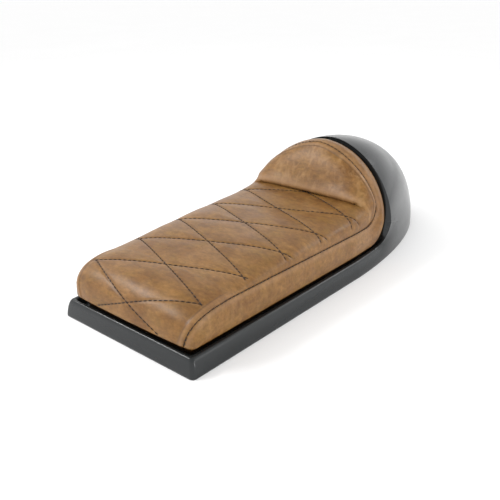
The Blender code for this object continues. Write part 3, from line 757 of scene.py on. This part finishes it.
def build_stitches(name, lines, trees, material):
    """Stitches at a steady pitch along lines, laid on the finished leather."""
    bm = bmesh.new()
    for line in lines:
        length = sum((b - a).length for a, b in zip(line, line[1:]))
        count = int(length / STITCH_PITCH)
        fine = resample(line, count * STITCH_STEPS + 1)
        for first in range(0, count * STITCH_STEPS, STITCH_STEPS):
            middle = fine[first + STITCH_STEPS // 2]
            along = (fine[first + STITCH_STEPS - 1] - fine[first + 1]).normalized()
            start, start_normal = onto_leather(middle - along * STITCH_LENGTH / 2, trees)
            end, end_normal = onto_leather(middle + along * STITCH_LENGTH / 2, trees)
            add_stitch(bm, start, end, (start_normal + end_normal).normalized())
    bmesh.ops.recalc_face_normals(bm, faces=bm.faces)
    item = place(name, bm, material)
    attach(item, "root")


# ---------------------------------------------------------------- pad

def build_top(rows, normals, reliefs, material):
    """The quilted leather from under the front edge to the crease."""
    turned = []
    for point in rows[0]:
        hem = Vector((point.x * FRONT_HEM_SCALE, FRONT_Y + HEM.front, HEM.level))
        turned.append(curl(point, hem))
    turned = [list(line) for line in reversed(list(zip(*turned)))]
    flat = [[Vector((0, 0, 0))] * (COLUMNS + 1)] * len(turned)
    plain = [[PLAIN] * (COLUMNS + 1)] * len(turned)
    end = CREASE_ROW + 1
    top = relief_sheet("leather_top", turned + rows[:end], flat + normals[:end],
                       plain + reliefs[:end], material)
    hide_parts("top_panel", "scrim_foam", "seat_foam")
    return top


def build_bum_stop(rows, normals, reliefs, material):
    """The leather face above the crease."""
    stop = relief_sheet("leather_bum_stop", rows[CREASE_ROW:], normals[CREASE_ROW:],
                        reliefs[CREASE_ROW:], material)
    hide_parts("bum_stop_panel", "bum_stop_foam")
    return stop


def cut_short(column, j):
    """A band column whose rows past j all fall on its point j."""
    return [column[min(i, j)] for i in range(BAND_ROWS + 1)] + column[BAND_ROWS + 1:]


def ends_cut_short(columns):
    """The band's values with those of the flaps that close the feet of its seam."""
    start = [cut_short(columns[0], j) for j in range(BAND_ROWS)]
    end = [cut_short(columns[-1], j) for j in reversed(range(BAND_ROWS))]
    return start + columns + end


def foot_flap(column, hem):
    """Columns turned in under the band's short front end, beside the top's own turned edge."""
    corner = Vector((SEAM_FOOT_X * FRONT_HEM_SCALE, FRONT_Y + HEM.front, HEM.level))
    columns = []
    for j in range(BAND_ROWS):
        turned = curl(column[j], corner.lerp(hem, j / BAND_ROWS))
        columns.append(cut_short(column, j)[:BAND_ROWS + 1] + turned)
    return columns


def build_band(seam, relief, material):
    """The leather band down both sides and over the arch, with its lower edge turned in."""
    edge = lower_line(PAD_EDGE, PAD_CORNER_R)
    hem = lower_line(HEM, HEM_CORNER_R)
    right = []
    for s, e, h in zip(seam, edge, hem):
        right.append([s.lerp(e, i / BAND_ROWS) for i in range(BAND_ROWS + 1)] + curl(e, h))
    columns = right + mirrored(right[:-1])
    reliefs = []
    for column in columns:
        width = (column[0] - column[BAND_ROWS]).length
        reliefs.append([relief.band(p, i / BAND_ROWS, width) if i < BAND_ROWS else PLAIN
                        for i, p in enumerate(column)])
    flap = foot_flap(columns[0], hem[0])
    band = relief_sheet("leather_band", flap + columns + mirrored(flap),
                        ends_cut_short(Surface(columns).normals), ends_cut_short(reliefs), material)
    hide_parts("side_band")
    return band


def build_pad(leather, thread):
    """The leather cover, its quilting and its seams."""
    seam, middle = pad_lines()
    rows = [across(s, m, c) for s, m, c in zip(seam, middle, section_crowns(len(seam)))]
    smooth_crease_ends(rows)
    normals = Surface(rows).normals
    quilting = quilt_lines(Surface(rows[:CREASE_ROW + 1]))
    seam_line = mirror(seam) + list(reversed(seam[:-1]))
    relief = Relief(quilting, seam_line, rows[CREASE_ROW])
    reliefs = [[relief.top(p, ridge_share(k), float(k > CREASE_ROW)) for p in row]
               for k, row in enumerate(rows)]
    top = build_top(rows, normals, reliefs, leather)
    stop = build_bum_stop(rows, normals, reliefs, leather)
    band = build_band(seam, relief, leather)

    graph = bpy.context.evaluated_depsgraph_get()
    trees = [BVHTree.FromObject(item, graph) for item in (top, stop, band)]
    build_stitches("quilting_stitches", quilting, trees[:2], thread)
    build_stitches("seam_stitches", [seam_line], trees, thread)


# ---------------------------------------------------------------- materials

class Nodes:
    """A small helper to write a node material."""

    def __init__(self, name):
        self.material = bpy.data.materials.new(name)
        self.material.use_nodes = True
        self.tree = self.material.node_tree
        self.shader = self.tree.nodes["Principled BSDF"]
        self.place = self.add("ShaderNodeTexCoord").outputs["Object"]

    def feed(self, socket, value):
        """Link a socket to another node's output, or give it a constant."""
        if isinstance(value, bpy.types.NodeSocket):
            self.tree.links.new(value, socket)
        elif isinstance(value, tuple) and socket.type == "RGBA":
            socket.default_value = (*value, 1.0)
        else:
            socket.default_value = value

    def add(self, kind, **inputs):
        """A new node with its inputs fed; an underscore in a name stands for a space."""
        node = self.tree.nodes.new(kind)
        for key, value in inputs.items():
            self.feed(node.inputs[key.replace("_", " ")], value)
        return node

    def shader_set(self, **inputs):
        """Feed the shader's inputs, named in the same way."""
        for key, value in inputs.items():
            self.feed(self.shader.inputs[key.replace("_", " ")], value)

    def stretched(self, scale, turn=0.0):
        """Coordinates scaled by each axis, and turned about Z."""
        node = self.add("ShaderNodeMapping", Vector=self.place)
        node.inputs["Scale"].default_value = scale
        node.inputs["Rotation"].default_value = (0.0, 0.0, -turn)
        return node.outputs["Vector"]

    def noise(self, scale, detail=4.0, roughness=0.55, vector=None, distortion=0.0):
        """Noise in the object's own coordinates, or in stretched ones."""
        node = self.add("ShaderNodeTexNoise", Vector=vector or self.place, Scale=scale,
                        Detail=detail, Roughness=roughness, Distortion=distortion)
        return node.outputs["Fac"]

    def ramp(self, factor, *stops):
        """A colour ramp of (position, colour) stops, a colour being a grey or a tuple."""
        node = self.add("ShaderNodeValToRGB", Fac=factor)
        elements = node.color_ramp.elements
        while len(elements) < len(stops):
            elements.new(0.5)
        for element, (position, colour) in zip(elements, stops):
            element.position = position
            element.color = (*colour, 1.0) if isinstance(colour, tuple) else (colour, colour, colour, 1.0)
        return node.outputs["Color"]

    def mix(self, factor, a, b, blend="MIX"):
        """Colour b blended over colour a by a factor."""
        node = self.tree.nodes.new("ShaderNodeMix")
        node.data_type = "RGBA"
        node.blend_type = blend
        for index, value in ((0, factor), (6, a), (7, b)):
            self.feed(node.inputs[index], value)
        return node.outputs[2]

    def math(self, operation, a, b):
        """A sum or product of two values."""
        node = self.tree.nodes.new("ShaderNodeMath")
        node.operation = operation
        self.feed(node.inputs[0], a)
        self.feed(node.inputs[1], b)
        return node.outputs[0]

    def bump(self, height, strength, distance):
        """Give the shader a bump that is made from a height."""
        node = self.add("ShaderNodeBump", Height=height, Strength=strength, Distance=distance)
        self.shader_set(Normal=node.outputs["Normal"])


def leather_base(m, clouds):
    """Mottled tan: clouds, olive and pink patches, dark smears and fine flecks."""
    base = m.ramp(clouds, (0.32, TAN_DARK), (0.50, TAN), (0.70, TAN_LIGHT))
    olive = m.ramp(m.noise(38.0, 4.0, 0.6, distortion=0.3), (0.48, 0.0), (0.72, 0.75))
    base = m.mix(olive, base, OLIVE_PATCH)
    pink = m.ramp(m.noise(15.0, 3.0, 0.5, distortion=0.4), (0.50, 0.0), (0.78, 0.6))
    base = m.mix(pink, base, PINK_PATCH)
    streaked = m.stretched((0.40, 1.0, 1.0), SMEAR_TURN)
    smears = m.noise(64.0, 6.0, 0.70, vector=streaked, distortion=0.4)
    base = m.mix(m.ramp(smears, (0.36, 0.55), (0.54, 0.0)), base, DARK_SMEAR)
    flecks = m.noise(230.0, 5.0, 0.75, vector=m.stretched((0.55, 1.0, 1.0), SMEAR_TURN))
    return m.mix(1.0, base, m.ramp(flecks, (0.34, 0.76), (0.66, 1.22)), "MULTIPLY")


def leather_wear_and_painted_light(m, base):
    """Pale scuffs, pale pulled leather with a painted highlight, and painted shade in the folds, where
    the vertex colour attribute puts them.
    """
    wear_and_painted_light = m.add("ShaderNodeVertexColor")
    wear_and_painted_light.layer_name = "wear_and_painted_light"
    parts = m.add("ShaderNodeSeparateColor", Color=wear_and_painted_light.outputs["Color"]).outputs
    streaks = m.noise(75.0, 5.0, 0.65, vector=m.stretched((1.0, 1.0, 0.28)), distortion=0.5)
    scuffs = m.math("MULTIPLY", m.ramp(streaks, (0.50, 0.0), (0.72, 0.60)), parts["Blue"])
    base = m.mix(scuffs, base, PALE_SCUFF)
    # Paler pulled leather, partly a painted highlight
    base = m.mix(m.math("MULTIPLY", parts["Green"], 0.50), base, PULLED_TAN_AND_SHEEN)
    # Painted shade in the folds
    return m.mix(m.math("MULTIPLY", parts["Red"], 0.75), base, PAINTED_FOLD_SHADE)


def leather_material():
    """Waxed pull-up leather with a fine grain."""
    m = Nodes("tan_leather_look")
    clouds = m.noise(24.0, 5.0, 0.62, distortion=0.3)
    m.shader_set(Base_Color=leather_wear_and_painted_light(m, leather_base(m, clouds)),
                 Roughness=m.ramp(clouds, (0.3, 0.34), (0.8, 0.46)),
                 Specular_IOR_Level=0.26)
    pores = m.add("ShaderNodeTexVoronoi", Vector=m.place, Scale=900.0)
    pores.feature = "DISTANCE_TO_EDGE"
    grain = m.math("ADD", m.math("MULTIPLY", pores.outputs["Distance"], 1.2), m.noise(260.0, 5.0, 0.6))
    m.bump(grain, 0.25, FINE_BUMP)
    return m.material


def plastic_material(name, colour, roughness, gloss):
    """Satin moulded plastic: a faint orange peel, dust-fine texture and handling marks."""
    m = Nodes(name)
    peel = m.noise(70.0, 3.0, 0.5)
    fine = m.noise(1500.0, 2.0, 0.5)
    tone = m.ramp(m.noise(35.0, 5.0, 0.65), (0.35, 0.93), (0.70, 1.07))
    marks = m.noise(18.0, 6.0, 0.7, vector=m.stretched((1.0, 0.25, 1.0)))
    m.shader_set(Base_Color=m.mix(1.0, colour, tone, "MULTIPLY"),
                 Roughness=m.ramp(marks, (0.3, roughness - 0.04), (0.75, roughness + 0.08)),
                 Specular_IOR_Level=gloss)
    m.bump(m.math("ADD", peel, m.math("MULTIPLY", fine, 0.25)), 0.15, FINE_BUMP)
    return m.material


def thread_material():
    """Twisted dark brown polyester thread."""
    m = Nodes("thread_look")
    twist = m.add("ShaderNodeTexWave", Vector=m.place, Scale=700.0, Distortion=2.0).outputs["Fac"]
    m.shader_set(Base_Color=m.ramp(twist, (0.2, THREAD_DARK), (0.8, THREAD_LIGHT)), Roughness=0.8)
    m.bump(twist, 0.5, FINE_BUMP)
    return m.material


def steel_material():
    """Bright zinc plating with a faint yellow and blue cast."""
    m = Nodes("zinc_look")
    patches = m.noise(240.0, 4.0, 0.6)
    m.shader_set(Base_Color=m.ramp(patches, (0.35, ZINC_BLUE), (0.65, ZINC_YELLOW)),
                 Roughness=m.ramp(patches, (0.3, 0.26), (0.7, 0.42)), Metallic=1.0)
    m.bump(m.noise(900.0), 0.15, FINE_BUMP)
    return m.material


def rubber_material():
    """Black rubber with a dull bloom."""
    m = Nodes("rubber_look")
    bloom = m.noise(160.0, 5.0, 0.6)
    m.shader_set(Base_Color=m.ramp(bloom, (0.35, RUBBER_DARK), (0.75, RUBBER_LIGHT)),
                 Roughness=m.ramp(bloom, (0.3, 0.75), (0.7, 0.92)))
    m.bump(bloom, 0.3, 0.0003)
    return m.material


def dress_cad_nodes():
    """Give each CAD node that still shows a material of its own kind."""
    steel = steel_material()
    looks = {
        "pad_pan": plastic_material("pan_plastic_look", PAN_BLACK, roughness=0.55, gloss=0.5),
        "bumper": rubber_material(),
        "bolt": steel,
        "washer": steel,
        "tee_nut": steel,
        "hog_ring": steel,
        "listing_rod": steel,
        "anchor_rod": steel,
    }
    for name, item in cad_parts.items():
        for start, look in looks.items():
            if name.startswith(start):
                item.data.materials.clear()
                item.data.materials.append(look)


# ---------------------------------------------------------------- studio

def build_floor():
    """A plain pale floor."""
    m = Nodes("studio_floor")
    m.shader_set(Base_Color=m.ramp(m.noise(3.0, 2.0, 0.5), (0.3, 0.975), (0.7, 0.985)),
                 Roughness=0.9, Specular_IOR_Level=0.1)
    bm = bmesh.new()
    bmesh.ops.create_grid(bm, x_segments=1, y_segments=1, size=FLOOR_SIZE)
    floor = place("studio_floor", bm, m.material)
    floor.location.z = -FLOOR_DROP


def build_sky():
    """A soft white sky that is brighter at the horizon than overhead."""
    world = bpy.data.worlds.new("studio")
    world.use_nodes = True
    nodes, links = world.node_tree.nodes, world.node_tree.links
    direction = nodes.new("ShaderNodeTexCoord")
    split = nodes.new("ShaderNodeSeparateXYZ")
    fall = nodes.new("ShaderNodeMapRange")
    fall.inputs["To Min"].default_value = SKY_LOW
    fall.inputs["To Max"].default_value = SKY_HIGH
    links.new(direction.outputs["Generated"], split.inputs["Vector"])
    links.new(split.outputs["Z"], fall.inputs["Value"])
    nodes["Background"].inputs["Color"].default_value = (1.0, 1.0, 1.0, 1.0)
    links.new(fall.outputs["Result"], nodes["Background"].inputs["Strength"])
    bpy.context.scene.world = world


def aimed(name, data, position, target):
    """A camera or a lamp that looks at a target."""
    item = bpy.data.objects.new(name, data)
    item.location = position
    item.rotation_euler = (Vector(target) - Vector(position)).to_track_quat("-Z", "Y").to_euler()
    bpy.context.collection.objects.link(item)
    return item


def build_lamp(lamp):
    """An area light."""
    data = bpy.data.lights.new(lamp.name, "AREA")
    data.shape = "RECTANGLE"
    data.size, data.size_y = lamp.size
    data.energy = lamp.power
    aimed(lamp.name, data, lamp.position, lamp.target)


def build_studio():
    """The floor, the sky, the lamps and the camera."""
    build_floor()
    build_sky()
    for lamp in LAMPS:
        build_lamp(lamp)
    bpy.context.scene.view_settings.view_transform = "Standard"
    data = bpy.data.cameras.new("camera")
    data.lens = CAMERA_LENS
    data.sensor_width = CAMERA_SENSOR
    bpy.context.scene.camera = aimed("camera", data, CAMERA_AT, CAMERA_TARGET)


def corners(box):
    """A box's lowest and highest corners as plain lists."""
    return [list(corner) for corner in box]


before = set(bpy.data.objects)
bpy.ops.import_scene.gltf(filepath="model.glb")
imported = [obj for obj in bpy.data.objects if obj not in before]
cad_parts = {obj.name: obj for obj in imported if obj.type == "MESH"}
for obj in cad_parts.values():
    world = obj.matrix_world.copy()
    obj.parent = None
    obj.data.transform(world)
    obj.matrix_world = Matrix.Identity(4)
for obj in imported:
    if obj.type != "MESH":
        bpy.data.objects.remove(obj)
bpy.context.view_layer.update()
dress_cad_nodes()
build_shell(plastic_material("black_plastic_look", SHELL_BLACK, roughness=0.22, gloss=0.34))
build_pad(leather_material(), thread_material())
build_studio()
